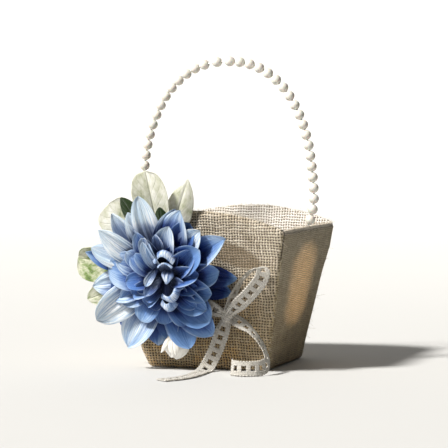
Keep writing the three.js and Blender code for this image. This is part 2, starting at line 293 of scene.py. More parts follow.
def lace_material():
    sh = Shader("ecru_lace", Roughness=0.85, Sheen_Weight=0.35, Sheen_Roughness=0.5, Specular_IOR_Level=0.2)
    s, t = sh.uv("flat")
    away = sh.size(t)
    # two plaited cords along each side, and close stitches across them
    plait = sh.math("SINE", away * 5.7 + sh.math("SINE", s * 5.7) * 0.9)
    stitch = sh.math("SINE", s * 9.5 + away * 2.2)
    picot = sh.math("SINE", s * (2 * pi / 2.2))
    fine = sh.field(s * 2.6, t * 2.6, detail=4)
    broad = sh.field(s * 0.12, t * 0.12, 3)
    height = plait * 0.5 + stitch * 0.32 + picot * sh.step(away, 3.6, 5) * 0.4 + fine * 0.8
    # darker where the lace lies low and paler on its raised cords, with broad browner patches
    relief_tones = sh.ramp(sh.math("ADD", height * 0.3, 0.42, clamp=True),
                   [(0, (0.33, 0.28, 0.21)), (0.4, (0.76, 0.72, 0.645)), (1, (0.93, 0.92, 0.885))])
    sh.set(Base_Color=sh.mix(sh.step(broad, 0.35, 0.7) * 0.35, relief_tones, (0.72, 0.65, 0.54)))
    sh.bump(height, 0.0006, 0.9)
    return sh.material


def ribbon(name, route, reach, both):
    """A strip of ladder lace along a route of (point, facing), gathered to half its width at the start or at
    both ends, with its full width from reach on."""
    line, facing, s = resample(*zip(*route), LACE_REPEAT / LACE_STEPS)
    tangent = unit(np.gradient(line, axis=0))
    normal = unit(facing - tangent * (facing * tangent).sum(1, keepdims=True))
    side = np.cross(tangent, normal)
    away = np.minimum(s, s[-1] - s) if both else s
    share = (0.5 + 0.5 * np.clip(away / reach, 0, 1) ** 0.8)[:, None]
    t = np.broadcast_to(LACE_T, (len(s), len(LACE_T))).copy()
    scallop = 0.85 * np.abs(np.sin(pi * s / (LACE_REPEAT / 3)))[:, None]
    edge = np.clip((np.abs(t) - 4.2) / 1.05, 0, 1)
    t += np.sign(t) * edge * (scallop - 0.5)
    depth = (1 - share) * 1.6 * np.cos(t * 2.1) + 0.12 * np.sin(s * 0.7)[:, None] * (t / (LACE_WIDTH / 2))
    points = line[:, None] + side[:, None] * (t * share)[..., None] + normal[:, None] * depth[..., None]
    n, m = t.shape
    quads = grid_faces(n, m)
    row, column = quads[:, 0] // m, quads[:, 0] % m
    phase = row % LACE_STEPS
    middle = np.abs(LACE_T[column] + LACE_T[column + 1]) / 2
    ladder = (phase >= 4) & (phase < 12) & (middle < 1.65)
    notch = np.isin(phase, (4, 5, 10, 11)) & (middle < 2.2)
    pinhole = np.isin(phase, (0, 8)) & (np.abs(middle - 3.45) < 0.26)
    body = (row > 2) & (row < n - 4)
    quads = quads[~((ladder | notch | pinhole) & body)]
    obj = make_object(name, points.reshape(-1, 3), quads, LACE)
    flat = np.stack([np.repeat(s, m), np.tile(LACE_T, n)], -1)
    set_uv(obj, "flat", flat[quads.ravel()])
    tidy_loose(obj)
    thicken(obj, LACE_THICK)
    return obj, s[-1]


def tidy_loose(obj):
    """Drops the points that no face uses."""
    bm = bmesh.new()
    bm.from_mesh(obj.data)
    for v in [v for v in bm.verts if not v.link_faces]:
        bm.verts.remove(v)
    bm.to_mesh(obj.data)
    bm.free()


LACE = lace_material()

LOOP_ROOT = np.array([24, 47.5, 11])
LOOP_ALONG = unit(np.array([0.65, 0.76, 0]))
LOOP_OUT = unit(np.array([0.2, -0.17, 0.965]))
LOOP_AXES = np.array([LOOP_ALONG, np.cross(LOOP_ALONG, LOOP_OUT), LOOP_OUT])
# (along, side, out), and the facing in the same three directions
LOOP_ROUTE = [
    ((-3, -1, -0.5), (0, -0.5, -0.85)), ((4, -2.5, -2.6), (-0.1, -0.65, -0.75)),
    ((14, -5.2, -4.6), (-0.1, -0.88, -0.45)), ((26, -6, -5.2), (0.1, -0.92, -0.4)),
    ((36, -4.2, -3.8), (0.5, -0.75, -0.4)), ((41.5, -0.6, 0.4), (0.97, -0.2, 0.1)),
    ((37, 2.2, 4.6), (0.55, 0.1, 0.83)), ((26, 2.6, 5.6), (0.05, 0.12, 0.99)),
    ((14, 1.8, 4.8), (-0.05, 0.1, 0.99)), ((4, 1, 2.6), (-0.1, 0.1, 0.98)), ((-3, 0.5, 0.8), (-0.1, 0, 1)),
]

LEFT_TAIL = [
    ((21, -57.6, 40), (0.1, -1, 0)), ((18.2, -59, 34.2), (0.1, -1, 0)), ((15.6, -59.2, 27), (0.2, -1, 0)),
    ((11.8, -58.6, 17), (0.45, -0.85, 0.1)), ((7.6, -58.8, 8), (0.6, -0.6, 0.4)),
    ((5.2, -62, 2.6), (0.35, -0.35, 0.85)), ((4.4, -70, 1.1), (0.05, 0, 1)), ((4.8, -85, 0.95), (0, 0, 1)),
    ((3.6, -100, 0.95), (0, 0, 1)), ((-0.4, -112, 0.95), (0, 0, 1)), ((-7, -122, 0.95), (0, 0, 1)),
]
RIGHT_TAIL = [
    ((21.6, -58.8, 41.5), (0, -0.9, 0.4)), ((25.6, -60, 38.6), (0.1, -0.8, 0.6)),
    ((32, -61.5, 35.2), (0.3, -0.5, 0.8)), ((40, -62, 29.5), (0.55, -0.12, 0.8)),
    ((46.5, -61.5, 21.5), (0.85, 0.02, 0.5)), ((50.5, -62.5, 13.5), (0.97, 0.05, 0.2)),
    ((52, -66, 8), (1, -0.1, 0.1)), ((50, -72.5, 6), (0.9, -0.5, 0.1)),
    ((44, -78.5, 5.7), (0.5, -0.9, 0.1)), ((36, -80, 5.7), (-0.2, -1, 0.1)),
    ((29.5, -76, 5.7), (-0.8, -0.6, 0.1)), ((27, -69.5, 5.7), (-1, 0, 0.1)),
]

# the stub of the second loop, in the face's frame
STUB = [
    ((18, 43.5, 5), (0, 0.2, -1)), ((13, 45.5, 5.2), (-0.1, 0.2, -1)), ((8.5, 47.5, 5.6), (-0.6, 0.2, -0.8)),
    ((6, 49.5, 8), (-1, 0.3, 0)), ((8.5, 49.8, 10.4), (-0.6, 0.2, 0.8)), ((13, 47.8, 10.4), (-0.1, -0.1, 1)),
    ((18.5, 44.5, 9), (0, -0.3, 1)),
]


def from_face(route):
    """A route in the face's frame to the object's."""
    return [(on_face(*point), on_face(*facing) - on_face(0, 0, 0)) for point, facing in route]


def make_bow():
    loop = [(LOOP_ROOT + point @ LOOP_AXES, facing @ LOOP_AXES) for point, facing in np.array(LOOP_ROUTE)]
    # name, node, route, reach of the gathers and whether both ends have them, and how it is held
    strips = [
        ("lace_loop", "bow_loop", from_face(loop), 13, True, "gathered"),
        ("lace_left_tail", "left_tail", LEFT_TAIL, 11, False, "laid"),
        ("lace_right_tail", "right_tail", RIGHT_TAIL, 11, False, "laid"),
        ("lace_stub", None, from_face(STUB), 8, True, "gathered"),
    ]
    for name, node, route, reach, both, held in strips:
        obj, length = ribbon(name, route, reach, both)
        attach(obj, "lace", node)


def make_knot():
    """The band of lace that is tied over the crossing."""
    turns = np.linspace(0, 2 * pi, 25)[:-1]
    axis = unit(np.array([0.55, 0.83, 0]))
    across = unit(np.array([0.83, -0.55, 0]))
    out = np.array([0, 0, 1])
    rows = []
    for t in np.linspace(-1, 1, 13):
        bulge = 1 - 0.22 * t * t + 0.05 * cos(9 * t)
        fold = 0.175 * np.sin(3 * turns + 2.4 * t)
        wide = (4.2 * bulge + fold) * np.cos(turns)
        high = (3.9 * bulge + fold) * np.sin(turns)
        ring = KNOT + axis * (3.9 * t) + wide[:, None] * across + high[:, None] * out
        rows.append(on_face(*ring.T))
    n, m = len(rows), len(turns)
    quads = grid_faces(n, m, closed=True)
    knot = make_object("lace_knot", np.vstack(rows), quads, LACE)
    flat = np.stack([np.tile(np.arange(m) * 1.1, n), np.repeat(np.linspace(-4, 4, n), m)], -1)
    set_uv(knot, "flat", flat[quads.ravel()])
    thicken(knot, 0.8, levels=1)
    attach(knot, "lace", "bow_knot")


make_bow()
make_knot()


# ---- burlap
PITCH = 2.05  # between threads
BURLAP_THICK = 0.8
HEM = 19.5  # depth of the doubled cloth below the rim
LOWEST = 0.5  # how low the middle of the cover's cloth may lie
SLOT_INSET = 2.2  # of the handle's slots, from the outside of the wall
SLOT_HALF = (1.35, 5.4)  # half their width and half their length
SHADE = (26, 84)  # the middle of the shaded patch on the front wall, across and up
SHADE_HALF = (22, 8)  # half its length and half its width
SHADE_TURN = (0.94, 0.34)  # cosine and sine of its slope
GLOW_MIDDLE = 60  # height of the painted glow on the right wall
GLOW_HALF = (0.6, 33)  # half its width as a share of the wall's, and half its height


def burlap_material(name, shade, outside=False):
    """A plain weave of uneven threads. shade: its light, middling and dark thread, and the painted shade of
    its holes.
    """
    sh = Shader(name, Roughness=0.92, Sheen_Weight=0.25, Sheen_Roughness=0.6, Specular_IOR_Level=0.15)
    s, t = sh.uv("cloth")
    u = s / PITCH + (sh.field(s * 0.02, t * 0.09, 1) - 0.5) * 1.7
    v = t / PITCH + (sh.field(s * 0.09, t * 0.02, 7) - 0.5) * 1.7
    i = sh.math("FLOOR", u)
    j = sh.math("FLOOR", v)
    over = sh.math("COSINE", (u - 0.5) * pi) * sh.math("COSINE", (v - 0.5) * pi)
    warp_tone = sh.field(i * 3.7, v * 0.13, 2, detail=1)
    weft_tone = sh.field(u * 0.13, j * 3.7, 9, detail=1)
    warp_half = warp_tone * 0.12 + sh.field(i * 5.3, v * 0.7, 31, detail=1) * 0.22 + over * 0.05 + 0.115
    weft_half = weft_tone * 0.12 + sh.field(u * 0.7, j * 5.3, 37, detail=1) * 0.22 - over * 0.05 + 0.125

    def round_top(away, half):
        share = away / half
        return sh.math("SQRT", sh.math("MAXIMUM", 1 - share * share, 0))

    warp = round_top(u - i - 0.5, warp_half) * (0.72 + over * 0.42)
    weft = round_top(v - j - 0.5, weft_half) * (0.72 - over * 0.42)
    height = sh.math("MAXIMUM", warp, weft)
    on_top = sh.math("GREATER_THAN", warp, weft)
    # painted light and shade on the weave: paler where a thread rides over, darker where it dips under
    crown_shading = over * (on_top * 2 - 1)
    fibre_a = sh.field(u * 9, v * 1.6, 3, detail=3, roughness=0.65)
    fibre_b = sh.field(u * 1.6, v * 9, 5, detail=3, roughness=0.65)
    fibre = fibre_b + (fibre_a - fibre_b) * on_top
    tone = weft_tone + (warp_tone - weft_tone) * on_top
    slub = sh.field(s * 0.05, t * 0.05, 11)
    patchy = sh.field(s * 0.35, t * 0.35, 15)
    value = (tone - 0.5) * 1.1 + (fibre - 0.5) * 0.9 + (slub - 0.5) * 0.4 + (patchy - 0.5) * 0.5 + crown_shading * 0.2
    light, middle, dark, hole_shade = shade
    thread = sh.ramp(sh.math("ADD", value, 0.46, clamp=True), [(0, dark), (0.5, middle), (1, light)])
    # the holes between the threads are painted dark, as painted shade seen through the gaps
    solid = sh.step(height, 0.04, 0.36)
    colour = sh.mix(solid, hole_shade, thread)
    place = sh.node("SeparateXYZ", {0: sh.place()})
    x, y, z = (Wire(sh, place.outputs[k]) * 1000 for k in range(3))
    # the threads close up where the cloth rolls over the rim, and the roll is painted paler, most on the side
    # walls, as a painted highlight where the light catches the rim
    bow = (1 - x * x / TOP_HALF**2) * FRONT_RISE
    on_front = sh.step(sh.size(y) - sh.size(x), -1, 1)
    closed_lit_crest = sh.step(z - CORNER_HEIGHT - bow * on_front - on_front * 1.8, -2.2, -0.6)
    colour = sh.mix(closed_lit_crest * 0.85, colour, sh.mix(0.85 - on_front * 0.6, thread, light))
    if outside:
        colour = outside_tones_and_shade(sh, colour, x, y, z, dark, thread, solid, slub, patchy)
        # a painted glow: the cloth emits warm light over a patch of the right wall
        lit = painted_glow(sh, s, t, x, y, z) * (sh.step(weft, 0.15, 0.85) * 0.75 + 0.25)
        sh.set(Emission_Color=sh.mix(lit, (0, 0, 0), (0.5, 0.29, 0.12)), Emission_Strength=1)
    sh.set(Base_Color=colour)
    sh.bump(height + (fibre - 0.5) * 0.35, 0.0008, 0.9)
    return sh.material


def outside_tones_and_shade(sh, colour, x, y, z, dark, thread, solid, slub, patchy):
    """The outside's tones, from place to place, with painted shade on the right wall and in a seam's crease,
    and a soft painted shadow on the front wall.
    """
    def tinted(share, tint):
        return sh.mix(share, colour, tint, "MULTIPLY")

    over = x / (z * SLOPE + BASE_HALF)
    # the right wall's cloth is closer, and the whole wall is painted darker, as painted shade
    side = sh.step(over, 0.95, 0.985) * sh.step(99.8 - z, 0, 1.5)
    closed = sh.mix(1, thread, (0.6, 0.55, 0.45), "MULTIPLY")
    colour = sh.mix(side * (1 - solid) * 0.55, colour, closed)
    colour = tinted(side, (0.8, 0.78, 0.66))
    # darker and browner towards the bottom
    colour = tinted(1 - sh.step(z + (slub - 0.5) * 30, 12, 92), (0.8, 0.72, 0.56))
    # soft shade on the front wall, between the flower and the bow
    across, up = x - SHADE[0], z - SHADE[1]
    (c, s), (long, short) = SHADE_TURN, SHADE_HALF
    a, b = across * c - up * s, across * s + up * c
    oval = a * a / long**2 + b * b / short**2 + (slub - 0.5) * 0.5
    shaded = (1 - sh.step(oval, 0.55, 1.25)) * sh.math("LESS_THAN", y, -40)
    colour = sh.mix(shaded * 0.9, colour, sh.mix(0.45, tinted(1, (0.42, 0.36, 0.28)), dark))
    # straw-coloured patches low on the front
    golden = sh.step(patchy * 0.4 + slub * 0.6, 0.44, 0.6) * (1 - sh.step(z, 30, 72))
    colour = tinted(golden * (1 - sh.step(over, 0.6, 0.95)) * 0.8, (1.06, 0.84, 0.52))
    # a seam runs down from the rim at one corner, painted near black as the shade in its crease
    beside = sh.size((x + y) / (z * SLOPE + BASE_HALF) - 0.012)
    seam_crease_shade = (1 - sh.step(beside, 0.006, 0.022)) * sh.step(over, 0.9, 0.93) * sh.step(z + slub * 4, 80, 84)
    return sh.mix(seam_crease_shade * 0.85, colour, (0.045, 0.032, 0.018))


def painted_glow(sh, s, t, x, y, z):
    """Where one side wall is painted to glow, as if light came through its cloth from inside, from 0 to 1."""
    uneven = sh.field(s * 0.06, t * 0.06, 21)
    across = (y / (z * SLOPE + BASE_HALF) - z * 0.0009 + 0.05) / GLOW_HALF[0]
    up = (z - GLOW_MIDDLE) / GLOW_HALF[1]
    reach = across * across + up * up * up * up + (uneven - 0.5) * 0.9
    window = (1 - sh.step(reach, -0.1, 1.15)) * sh.math("GREATER_THAN", x, 40)
    return window * (uneven * 0.8 + 0.65)


BURLAP_OUT = burlap_material("burlap_outside", (
    (0.9, 0.82, 0.7), (0.585, 0.495, 0.375), (0.27, 0.21, 0.13), (0.022, 0.015, 0.008)), outside=True)
BURLAP_IN = burlap_material("burlap_inside", (
    (1, 0.97, 0.92), (0.9, 0.84, 0.77), (0.62, 0.55, 0.46), (0.15, 0.11, 0.075)))

SIDE_STEPS = 76
CORNER_STEPS = 6
CORNER_RADIUS = 4.5
CLOSER = 1.42  # how many times closer the right wall's weave is
HANDLE_SIDES = 7  # half the length of rim beside the handle that stays level


def perimeter():
    """The columns round the box: (wall, place along it from -1 to 1 or None, corner angle or None)."""
    columns = []
    # walls in order: front (-Y), right (+X), back (+Y), left (-X); then the corner that follows each
    for wall in range(4):
        for k in range(SIDE_STEPS + 1):
            columns.append((wall, -1 + 2 * k / SIDE_STEPS, None))
        for k in range(1, CORNER_STEPS):
            angle = radians(-90 + 90 * wall + 90 * k / CORNER_STEPS)
            columns.append(((wall + (k > CORNER_STEPS // 2)) % 4, None, angle))
    return columns


COLUMNS = perimeter()
OUTWARD = [(0, -1), (1, 0), (0, 1), (-1, 0)]
ALONG = [(1, 0), (0, 1), (-1, 0), (0, -1)]


def rim_height(x, y):
    front = CORNER_HEIGHT + FRONT_RISE * np.clip(1 - (x / TOP_HALF) ** 2, 0, 1)
    side = CORNER_HEIGHT + SIDE_RISE * np.clip(1 - (y / TOP_HALF) ** 2, 0, 1)
    return np.where(np.abs(y) >= np.abs(x), front, side)


def ring_point(column, half, radius):
    """Where a column meets a rounded square of that half width."""
    wall, place, angle = column
    side = half - radius
    if place is not None:
        (ox, oy), (ax, ay) = OUTWARD[wall], ALONG[wall]
        return ox * half + ax * side * place, oy * half + ay * side * place
    cx, cy = [(1, -1), (1, 1), (-1, 1), (-1, -1)][int((degrees(angle) + 90) // 90)]
    return cx * side + radius * cos(angle), cy * side + radius * sin(angle)


def wobble(x, y, z, seed, scale):
    """Smooth low waves of a few centimetres, from -1 to 1."""
    r = rng(seed)
    total = np.zeros(np.broadcast(x, y, z).shape)
    for _ in range(7):
        k = r.normal(size=3)
        k = k / np.linalg.norm(k) * r.uniform(0.6, 1.4) / scale
        total = total + np.sin(k[0] * x + k[1] * y + k[2] * z + r.uniform(0, 6.28))
    return total / 4


def cloth_wall(profile):
    """A sheet swept round the box. profile has rows of (inset, height as a share of the rim's, drop)."""
    points = np.zeros((len(profile), len(COLUMNS), 3))
    for j, column in enumerate(COLUMNS):
        rim = float(rim_height(*ring_point(column, TOP_HALF, CORNER_RADIUS)))
        for i, (inset, share, drop) in enumerate(profile):
            z = rim * share - drop
            half = wall_at(max(z, 0)) - inset / cos(LEAN)
            radius = max(CORNER_RADIUS - inset * 0.8, 1.5) if half > 8 else half * 0.3
            points[i, j] = (*ring_point(column, half, min(radius, half * 0.9)), z)
    return points


def ripple_rim(points, drop):
    """Moves the cloth near its rim up and down in low waves, but not beside the handle."""
    x, y, z = np.moveaxis(points, -1, 0)
    wave = wobble(x, y, z, 8, 9) * 0.5 * np.clip(1 - drop / 9, 0, 1)
    clear = np.clip((np.abs(y) - HANDLE_SIDES) / 5, 0, 1)
    points[..., 2] += wave * np.where(np.abs(x) > np.abs(y), clear, 1)


def outward(points, margin):
    """The way out of each point's wall, in x and in y. Both are set within margin of a corner."""
    flat = points[..., :2]
    least = np.abs(flat).max(-1, keepdims=True) - margin
    return np.where(np.abs(flat) > least, np.sign(flat), 0)


def finish_cloth(name, points, material, node, keep=None):
    m = points.shape[1]
    quads = grid_faces(*points.shape[:2], closed=True)
    wall = np.array([c[0] for c in COLUMNS])[quads[:, 0] % m]
    flat = points.reshape(-1, 3)
    if keep is not None:
        chosen = keep(flat[quads].mean(1), quads[:, 0] // m)
        quads, wall = quads[chosen], wall[chosen]
    obj = make_object(name, flat, quads, material)
    corner = flat[quads]
    front = (wall % 2 == 0)[:, None]
    along = np.where(front, corner[..., 0], corner[..., 1])
    # level stretches, such as the bottom, take the weave from the other level direction
    normal = np.abs(np.cross(corner[:, 1] - corner[:, 0], corner[:, 3] - corner[:, 0]))
    level = (normal[:, 2] > 2.2 * np.maximum(normal[:, 0], normal[:, 1]))[:, None]
    up = np.where(level, np.where(front, corner[..., 1], corner[..., 0]), corner[..., 2] / cos(LEAN))
    closer = np.where(wall == 1, CLOSER, 1)[:, None, None]
    set_uv(obj, "cloth", (np.stack([along, up], -1) + 200) * closer)
    tidy_loose(obj)
    thicken(obj, BURLAP_THICK)
    attach(obj, "burlap", node)


def make_cover():
    # the bottom, the turn at its edge, the wall, and the hem rolled over the rim
    profile = [(inset, 0, -0.55) for inset in (44, 30, 16, 6)]
    profile += [(2.6, 0, -0.6), (1.3, 0, -1.1), (0.6, 0, -2.2)]
    first, wall_rows, top = len(profile), 66, 2.6
    for k in range(1, wall_rows + 1):
        share = k / wall_rows
        profile.append((0.5, share, -3.4 * (1 - share) + top * share))
    for turn in np.linspace(0, pi / 2, 7)[1:]:
        profile.append((0.5 + 2.1 * (1 - cos(turn)), 1, top - 2.5 * sin(turn)))
    profile += [(2.95, 1, 0.1), (3.3, 1, 0.6), (3.4, 1, 1.4)]
    points = cloth_wall(profile)
    x, y, z = np.moveaxis(points, -1, 0)
    drop = rim_height(x, y) - z
    swell = wobble(x, y, z, 5, 17) * 0.55 * np.clip(z / 20, 0, 1) * np.clip(drop / 14, 0.35, 1)
    # the doubled hem round the top, and the softer cloth under it
    hem = 0.55 / (1 + np.exp((drop - HEM) * 1.4))
    # the back right corner stands out above the middle, and the front left one near the bottom
    corner = np.clip(x / wall_at(z), 0, 1) ** 6 * np.clip(y / wall_at(z), 0, 1) ** 6
    hip = 1.9 * corner * np.exp(-((drop - 21) / 11) ** 2)
    corner = np.clip(-x / wall_at(z), 0, 1) ** 5 * np.clip(-y / wall_at(z), 0, 1) ** 5
    hip = hip + 4.2 * corner * np.exp(-((z - 15) / 10) ** 2)
    row = np.arange(len(profile))[:, None]
    on_hem = row >= first + wall_rows
    rolled = (0.3 * wobble(x, y, z, 5, 17) + 0.55 * np.clip(1.6 - drop, 0, 1)) * 0.6
    push = np.where(on_hem, rolled, np.where(row >= first - 2, swell + hem + hip, 0))
    way = outward(points, 4)
    points[..., :2] += push[..., None] * way / np.maximum(np.linalg.norm(way, axis=-1, keepdims=True), 1)
    ripple_rim(points, drop)
    points[..., 2] = np.maximum(points[..., 2], LOWEST)

    def keep(centre, row):
        """Everything but the slots that the handle's wire comes up through."""
        inset = wall_at(centre[:, 2]) - np.abs(centre[:, 0])
        slot = (np.abs(inset - SLOT_INSET) < SLOT_HALF[0]) & (np.abs(centre[:, 1]) < SLOT_HALF[1])
        return ~(slot & (row >= first + wall_rows))

    finish_cloth("burlap_outer", points, BURLAP_OUT, "burlap_cover", keep)


def make_lining():
    profile = [(inset, 0, -4.6) for inset in (42, 28, 14)] + [(7, 0, -4.65), (5.1, 0, -5), (4.3, 0, -5.9)]
    rows = 44
    for k in range(1, rows + 1):
        share = k / rows
        profile.append((4.1, share, -5.9 * (1 - share) * 1.2 + 1.5 * share))
    profile += [(4, 1, 0.75), (3.65, 1, 0.25), (3.2, 1, 0.05), (2.95, 1, 0.2)]
    points = cloth_wall(profile)
    x, y, z = np.moveaxis(points, -1, 0)
    drop = rim_height(x, y) - z
    swell = wobble(x, y, z, 12, 15) * 0.5 * np.clip(z / 20 - 0.2, 0, 1) * np.clip(drop / 10, 0, 1)
    ripple_rim(points, drop)
    points[..., :2] -= np.maximum(swell, 0)[..., None] * outward(points, 3)
    finish_cloth("burlap_inner", points, BURLAP_IN, "burlap_lining")


def fibrous_material(name, fine, broad, dark, light, depth=0, strength=0, **values):
    """Short fibres over broader clouds. fine and broad are each a scale and a detail."""
    sh = Shader(name, **values)
    hair = sh.noise(sh.place(), *fine)
    clouds = sh.noise(sh.place(), *broad)
    sh.set(Base_Color=sh.ramp(hair * 0.6 + clouds * 0.4, [(0.3, dark), (0.7, light)]))
    sh.bump(hair, depth, strength)
    return sh.material


def fibre_material():
    sh = Shader("loose_fibre", Roughness=0.9, Sheen_Weight=0.3, Specular_IOR_Level=0.2)
    tone = sh.noise(sh.place(), 90, 3)
    sh.set(Base_Color=sh.ramp(tone, [(0.3, (0.42, 0.33, 0.21)), (0.7, (0.84, 0.76, 0.62))]))
    return sh.material


def make_fibres():
    """Short hairs of jute that stand out of the rim and of the four upright corners."""
    r = rng(77)
    points, faces = [], []
    fibres, on_rim = 900, 720
    for k in range(fibres):
        wall = k % 4
        o, a = np.array(OUTWARD[wall]), np.array(ALONG[wall])
        if k < on_rim:
            place = r.uniform(-0.97, 0.97)
            inset = r.uniform(0.2, 3.2)
            x, y = o * (TOP_HALF - inset) + a * TOP_HALF * place
            base = np.array([x, y, rim_height(x, y) - 0.1 * inset])
            lean = np.array([*(o * r.uniform(-0.3, 0.9)), r.uniform(0.1, 1)])
            if wall % 2 and abs(y) < HANDLE_SIDES:
                continue
        else:
            z = CORNER_HEIGHT * r.uniform(0.03, 0.99)
            base = np.array([*((o + a) * (wall_at(z) - 1.5)), z])
            lean = np.array([*(o + a) * r.uniform(0.4, 0.8), r.uniform(-0.5, 0.5)])
        lean = unit(lean + r.normal(size=3) * 0.35)
        bend = r.normal(size=3) * 0.5
        side = unit(np.cross(lean, r.normal(size=3))) * 0.07
        length = r.uniform(1.4, 4.2)
        start = len(points)
        for share in (0, 0.35, 0.7, 1):
            middle = base + (lean * share + bend * share * share * 0.7) * length
            points += [middle - side * (1.1 - share), middle + side * (1.1 - share)]
        faces += [(start + i, start + i + 1, start + i + 3, start + i + 2) for i in (0, 2, 4)]
    obj = make_object("burlap_fibres", points, faces, fibre_material())
    thicken(obj, 0.1)
    attach(obj, "burlap")


make_cover()
make_lining()
make_fibres()


# ---- hidden board, wire and pins


def wire_material():
    sh = Shader("drawn_wire", Metallic=1)
    dull = sh.noise(sh.place(), 90, 3)
    sh.set(Base_Color=sh.ramp(dull, [(0.3, (0.58, 0.56, 0.52)), (0.7, (0.8, 0.79, 0.76))]))
    sh.set(Roughness=dull * 0.3 + 0.2)
    sh.bump(sh.noise(sh.place(), 2500, 3), 0.00005, 0.5)
    return sh.material


def dress(nodes, material):
    for name in nodes:
        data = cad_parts[name].data
        data.materials.clear()
        data.materials.append(material)


BOARD = fibrous_material(
    "grey_board", (900, 5), (60, 3), (0.33, 0.27, 0.19), (0.52, 0.44, 0.33), 0.0002, 0.6, Roughness=0.9)
dress(["wall_stiffener", "base_board"], BOARD)
WIRES = ["handle_wire", "left_handle_pin", "right_handle_pin"]
dress(WIRES, wire_material())
for part in WIRES:
    smooth_faces(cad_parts[part].data)


# ---- pearls


def pearl_material():
    sh = Shader("pearl", Coat_Weight=0.35, Coat_Roughness=0.12, Specular_IOR_Level=0.6,
                Subsurface_Weight=0.12, Subsurface_Scale=0.002)
    clouds = sh.noise(sh.place(), 420, 3)
    fine = sh.noise(sh.place(), 2600)
    # by the facing, the pearl is painted darker out towards its outline, as painted shade, and a little paler
    # right at it, as a painted sheen
    edge = Wire(sh, sh.node("LayerWeight", {"Blend": 0.35}).outputs["Facing"])
    tones = [(0.15, (0.84, 0.81, 0.74)), (0.6, (0.76, 0.72, 0.64)), (0.95, (0.8, 0.77, 0.7))]
    sh.set(Base_Color=sh.ramp(edge * 0.75 + clouds * 0.3, tones), Roughness=fine * 0.18 + 0.24)
    sh.bump(fine + clouds, 0.00006, 0.35)
    return sh.material


def make_pearls():
    material = pearl_material()
    names = sorted(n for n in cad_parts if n.startswith("pearl_"))
    boxes = [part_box(n) for n in names]
    centres = [(lo + hi) / 2 for lo, hi in boxes]
    radius, bore, columns = 3.8, 0.95, 28
    start = asin(bore / radius)
    angles = np.linspace(start, pi - start, 17)
    for k, name in enumerate(names):
        r = rng(100 + k)
        axis = (centres[min(k + 1, len(names) - 1)] - centres[max(k - 1, 0)]).normalized()
        turn = Vector((0, 0, 1)).rotation_difference(axis).to_matrix().to_4x4()
        size = radius * (1 + r.uniform(-0.018, 0.008))
        squash = 1 + r.uniform(-0.03, 0)
        # the outside from one end of the bore to the other, with a lip inside each end
        profile = [(size * sin(a), -size * squash * cos(a)) for a in angles]
        profile = [(bore * 0.93, -size * 0.86)] + profile + [(bore * 0.93, size * 0.86)]
        ring = np.linspace(0, 2 * pi, columns, endpoint=False)
        points = [(out * cos(a), out * sin(a), up) for out, up in profile for a in ring]
        faces = grid_faces(len(profile), columns, closed=True)
        obj = make_object("bead_" + name[-2:], points, faces, material)
        spin = Matrix.Rotation(r.uniform(0, 6.28), 4, "Z")
        obj.matrix_world = Matrix.Translation(centres[k]) @ turn @ spin
        attach(obj, "pearl", name, body=name)


make_pearls()


# ---- petals and leaves


def blade(length, width, start, height, angles, angle, tip=1, peak=0.55, root=0.3, cup=0, crease=0, twist=0,
          ripple=0, sway=0, fold=0, pleats=0, seed=0, nu=12, nv=20):
    """A petal or leaf that grows out along the face at angle, in degrees. Its line lifts off the face by each
    of angles in turn. Returns its points in the face's frame and (along, across) for each."""
    r = rng(seed)
    v = np.linspace(0, 1, nv + 1)
    u = np.linspace(-1, 1, nu + 1)
    rise = np.radians(np.interp(v, np.linspace(0, 1, len(angles)), angles))
    step = length / nv
    y = start + np.concatenate([[0], np.cumsum(np.cos((rise[1:] + rise[:-1]) / 2) * step)])
    z = height + np.concatenate([[0], np.cumsum(np.sin((rise[1:] + rise[:-1]) / 2) * step)])
    grow = root + (1 - root) * np.sin(np.clip(v / peak, 0, 1) * pi / 2) ** 1.2
    fall = np.clip(1 - np.clip((v - peak) / (1 - peak), 0, 1) ** 2.1, 0, 1) ** tip
    half = np.maximum(width / 2 * grow * fall, 0.12)[:, None]
    # the blade's own directions at each point of its line
    tau = (np.radians(twist) * v)[:, None]
    normal = np.stack([0 * v, -np.sin(rise), np.cos(rise)], 1)
    side = np.array([1, 0, 0])
    side, normal = side * np.cos(tau) + normal * np.sin(tau), normal * np.cos(tau) - side * np.sin(tau)
    uu, vv = np.meshgrid(u, v)
    out = cup * half * uu**2
    out = out - crease * np.exp(-(uu / 0.13) ** 2) * np.sin(pi * vv) ** 0.7
    for _ in range(3):
        place, depth = r.uniform(-0.75, 0.75), r.uniform(-0.5, 0.5) * crease
        out = out + depth * np.exp(-((uu - place) / 0.16) ** 2) * vv * (1.15 - vv)
    folds = np.cos(uu * r.uniform(7.5, 10.5) + r.uniform(-1, 1)) * (1 - 0.3 * uu**2)
    out = out + pleats * folds * np.sin(pi * np.clip(vv * 0.9 + 0.1, 0, 1))
    wave = np.sin(vv * r.uniform(5, 8) + np.sign(uu) * r.uniform(0.4, 2) + r.uniform(0, 6))
    out = out + ripple * wave * np.abs(uu) ** 2.4 * vv
    across = uu * half
    if fold:
        # the margin on one side turns back over the face of the blade
        turn = np.clip((uu - (1 - fold)) / fold, 0, 1)
        across = across - turn * half * fold * 0.95
        out = out + np.sin(turn * pi * 0.75) * half * fold * 0.75
    centre = np.stack([sway * v**2, y, z], 1)
    points = centre[:, None] + side[:, None] * across[..., None] + normal[:, None] * out[..., None]
    c, s = cos(radians(angle)), sin(radians(angle))
    x, y, z = np.moveaxis(points, -1, 0)
    return np.stack([x * s + y * c, y * s - x * c, z], -1), vv, uu


def flat_length(reach, lifts):
    """The length of a blade with those lifts that reaches that far along the face."""
    return reach / float(np.mean(np.cos(np.radians(lifts))))


CELL = 1.5  # of the height map of the flower
CELLS = 100


